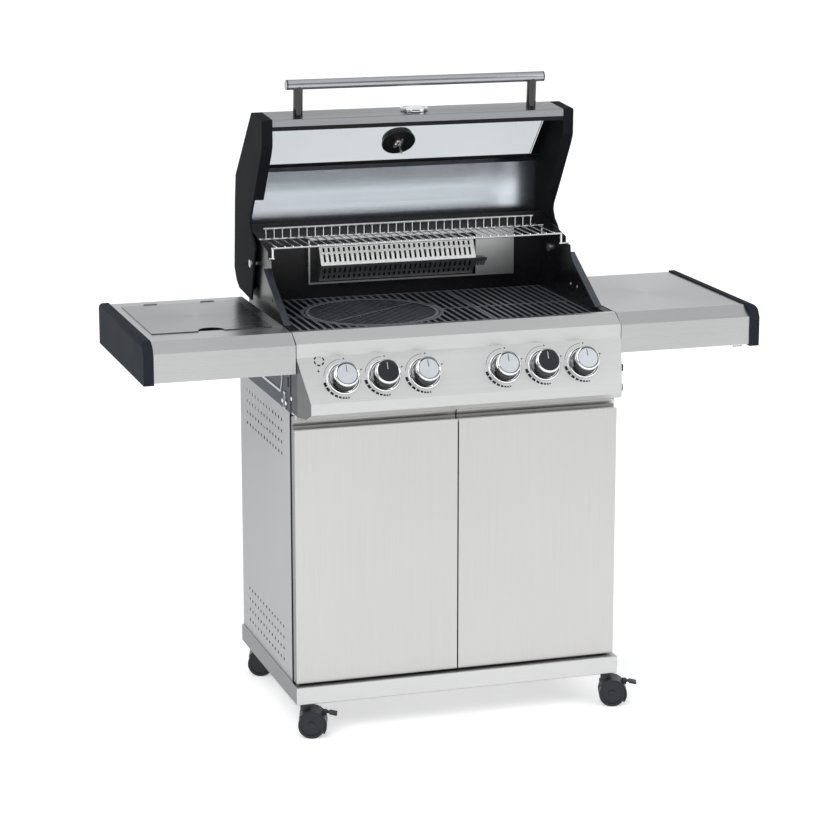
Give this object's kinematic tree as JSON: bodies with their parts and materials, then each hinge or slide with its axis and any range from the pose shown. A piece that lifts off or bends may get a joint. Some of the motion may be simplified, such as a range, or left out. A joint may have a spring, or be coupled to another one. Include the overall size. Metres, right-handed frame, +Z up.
{
  "type": "gas barbecue grill",
  "caption": "Gas barbecue on a wheeled two-door cabinet, with a windowed hinged lid, cooking grates, warming rack, control knobs, a covered side burner and side tables.",
  "frame": {"origin": "centre of the overall box at floor level, lid open and doors closed", "axes": "+X to the user's right, +Y from the front to the back, +Z up"},
  "size_m": [1.418, 0.6402, 1.4218],
  "materials": {
    "brushed_steel": "brushed",
    "polished_steel": "bright",
    "grey_paint": "satin grey paint",
    "black_enamel": "black enamel",
    "black_cast": "fine textured black powder coat",
    "cast_iron": "matt enamelled",
    "chrome": "polished",
    "black_plastic": "fine texture",
    "knob_silver": "silver metallic",
    "knob_black": "satin black",
    "glass": "clear, faintly grey",
    "brass": "machined",
    "gloss_black": "gloss black",
    "galvanised": "galvanised",
    "wheel_plastic": "hard plastic"
  },
  "bodies": {
    "frame": {"base_tray": "brushed_steel", "left_side_panel": "grey_paint", "right_side_panel": "grey_paint", "back_panel": "grey_paint", "front_frame": "brushed_steel", "door_pins": "galvanised", "firebox": "black_enamel", "left_firebox_side": "black_enamel", "right_firebox_side": "black_enamel", "burner_tubes": "galvanised", "flame_tamers": "galvanised", "back_burner_frame": "polished_steel", "back_burner_baffle": "polished_steel", "control_panel": "brushed_steel", "gas_manifold": "brass", "knob_bezels": "chrome", "left_table": "brushed_steel", "right_table": "brushed_steel", "left_cap": "black_plastic", "right_cap": "black_plastic", "table_brackets": "galvanised", "side_hinges": "galvanised", "side_burner_bowl": "brushed_steel", "side_burner_head": "galvanised", "pot_support": "cast_iron", "hinge_bolts": "galvanised"},
    "left_door": {"left_door": "brushed_steel"},
    "right_door": {"right_door": "brushed_steel"},
    "lid": {"left_cheek": "black_cast", "right_cheek": "black_cast", "lid_skin": "brushed_steel", "lid_liner": "polished_steel", "lid_bar": "brushed_steel", "window": "glass", "handle_tube": "polished_steel", "handle_posts": "gloss_black", "thermometer": "chrome"},
    "drip_tray": {"drip_tray": "galvanised", "grease_cup": "galvanised"},
    "left_grate": {"left_grate": "cast_iron"},
    "right_grate": {"right_grate": "cast_iron"},
    "round_insert": {"round_insert": "cast_iron"},
    "warming_rack": {"warming_rack": "chrome"},
    "side_lid": {"side_lid": "brushed_steel"},
    "knob_1": {"knob_1": "knob_silver"},
    "knob_2": {"knob_2": "knob_black"},
    "knob_3": {"knob_3": "knob_silver"},
    "knob_4": {"knob_4": "knob_silver"},
    "knob_5": {"knob_5": "knob_black"},
    "knob_6": {"knob_6": "knob_silver"},
    "front_left_caster": {"front_left_hood": "wheel_plastic"},
    "front_left_wheels": {"front_left_wheels": "wheel_plastic"},
    "front_right_caster": {"front_right_hood": "wheel_plastic"},
    "front_right_wheels": {"front_right_wheels": "wheel_plastic"},
    "back_left_caster": {"back_left_hood": "wheel_plastic"},
    "back_left_wheels": {"back_left_wheels": "wheel_plastic"},
    "back_right_caster": {"back_right_hood": "wheel_plastic"},
    "back_right_wheels": {"back_right_wheels": "wheel_plastic"},
    "left_brake_pedal": {"left_brake_pedal": "wheel_plastic"},
    "right_brake_pedal": {"right_brake_pedal": "wheel_plastic"}
  },
  "joints": [
    {"name": "lid_hinge", "type": "hinge", "parent": "frame", "child": "lid", "pos_m": [0, 0.1531, 0.999], "axis": [1, 0, 0], "range_deg": [0, 84.5]},
    {"name": "left_door_hinge", "type": "hinge", "parent": "frame", "child": "left_door", "pos_m": [-0.366, -0.2119, 0.4], "axis": [0, 0, -1], "range_deg": [0, 110]},
    {"name": "right_door_hinge", "type": "hinge", "parent": "frame", "child": "right_door", "pos_m": [0.366, -0.2119, 0.4], "axis": [0, 0, 1], "range_deg": [0, 110]},
    {"name": "drip_tray_slide", "type": "slide", "parent": "frame", "child": "drip_tray", "axis": [0, 1, 0], "range_m": [0, 0.35]},
    {"name": "left_grate_lift", "type": "slide", "parent": "frame", "child": "left_grate", "axis": [0, 0, -1], "range_m": [-0.03, 0]},
    {"name": "round_insert_lift", "type": "slide", "parent": "left_grate", "child": "round_insert", "axis": [0, 0, -1], "range_m": [-0.02, 0]},
    {"name": "right_grate_lift", "type": "slide", "parent": "frame", "child": "right_grate", "axis": [0, 0, -1], "range_m": [-0.03, 0]},
    {"name": "warming_rack_lift", "type": "slide", "parent": "frame", "child": "warming_rack", "axis": [0, 0, -1], "range_m": [-0.06, 0]},
    {"name": "side_lid_hinge", "type": "hinge", "parent": "frame", "child": "side_lid", "pos_m": [-0.533, 0.1761, 0.9131], "axis": [-1, 0, 0], "range_deg": [0, 95]},
    {"name": "knob_1_turn", "type": "hinge", "parent": "frame", "child": "knob_1", "pos_m": [-0.276, -0.27822, 0.81615], "axis": [0, -0.8624, 0.5062], "range_deg": [0, 190]},
    {"name": "knob_2_turn", "type": "hinge", "parent": "frame", "child": "knob_2", "pos_m": [-0.184, -0.27822, 0.81615], "axis": [0, -0.8624, 0.5062], "range_deg": [0, 190]},
    {"name": "knob_3_turn", "type": "hinge", "parent": "frame", "child": "knob_3", "pos_m": [-0.092, -0.27822, 0.81615], "axis": [0, -0.8624, 0.5062], "range_deg": [0, 190]},
    {"name": "knob_4_turn", "type": "hinge", "parent": "frame", "child": "knob_4", "pos_m": [0.092, -0.27822, 0.81615], "axis": [0, -0.8624, 0.5062], "range_deg": [0, 190]},
    {"name": "knob_5_turn", "type": "hinge", "parent": "frame", "child": "knob_5", "pos_m": [0.184, -0.27822, 0.81615], "axis": [0, -0.8624, 0.5062], "range_deg": [0, 190]},
    {"name": "knob_6_turn", "type": "hinge", "parent": "frame", "child": "knob_6", "pos_m": [0.276, -0.27822, 0.81615], "axis": [0, -0.8624, 0.5062], "range_deg": [0, 190]},
    {"name": "front_left_swivel", "type": "hinge", "parent": "frame", "child": "front_left_caster", "pos_m": [-0.357, -0.2369, 0.075], "axis": [0, 0, 1], "continuous": true},
    {"name": "front_left_roll", "type": "hinge", "parent": "front_left_caster", "child": "front_left_wheels", "pos_m": [-0.34365, -0.24113, 0.03], "axis": [0.3024, 0.9532, 0], "continuous": true},
    {"name": "front_right_swivel", "type": "hinge", "parent": "frame", "child": "front_right_caster", "pos_m": [0.357, -0.2369, 0.075], "axis": [0, 0, 1], "continuous": true},
    {"name": "front_right_roll", "type": "hinge", "parent": "front_right_caster", "child": "front_right_wheels", "pos_m": [0.37034, -0.24113, 0.03], "axis": [0.3024, 0.9532, 0], "continuous": true},
    {"name": "back_left_swivel", "type": "hinge", "parent": "frame", "child": "back_left_caster", "pos_m": [-0.357, 0.2161, 0.075], "axis": [0, 0, 1], "continuous": true},
    {"name": "back_left_roll", "type": "hinge", "parent": "back_left_caster", "child": "back_left_wheels", "pos_m": [-0.34365, 0.21186, 0.03], "axis": [0.3024, 0.9532, 0], "continuous": true},
    {"name": "back_right_swivel", "type": "hinge", "parent": "frame", "child": "back_right_caster", "pos_m": [0.357, 0.2161, 0.075], "axis": [0, 0, 1], "continuous": true},
    {"name": "back_right_roll", "type": "hinge", "parent": "back_right_caster", "child": "back_right_wheels", "pos_m": [0.37034, 0.21186, 0.03], "axis": [0.3024, 0.9532, 0], "continuous": true},
    {"name": "left_brake_press", "type": "hinge", "parent": "front_left_caster", "child": "left_brake_pedal", "pos_m": [-0.31481, -0.25028, 0.05539], "axis": [0.3024, 0.9532, 0], "range_deg": [0, 12]},
    {"name": "right_brake_press", "type": "hinge", "parent": "front_right_caster", "child": "right_brake_pedal", "pos_m": [0.39919, -0.25028, 0.05539], "axis": [0.3024, 0.9532, 0], "range_deg": [0, 12]}
  ]
}
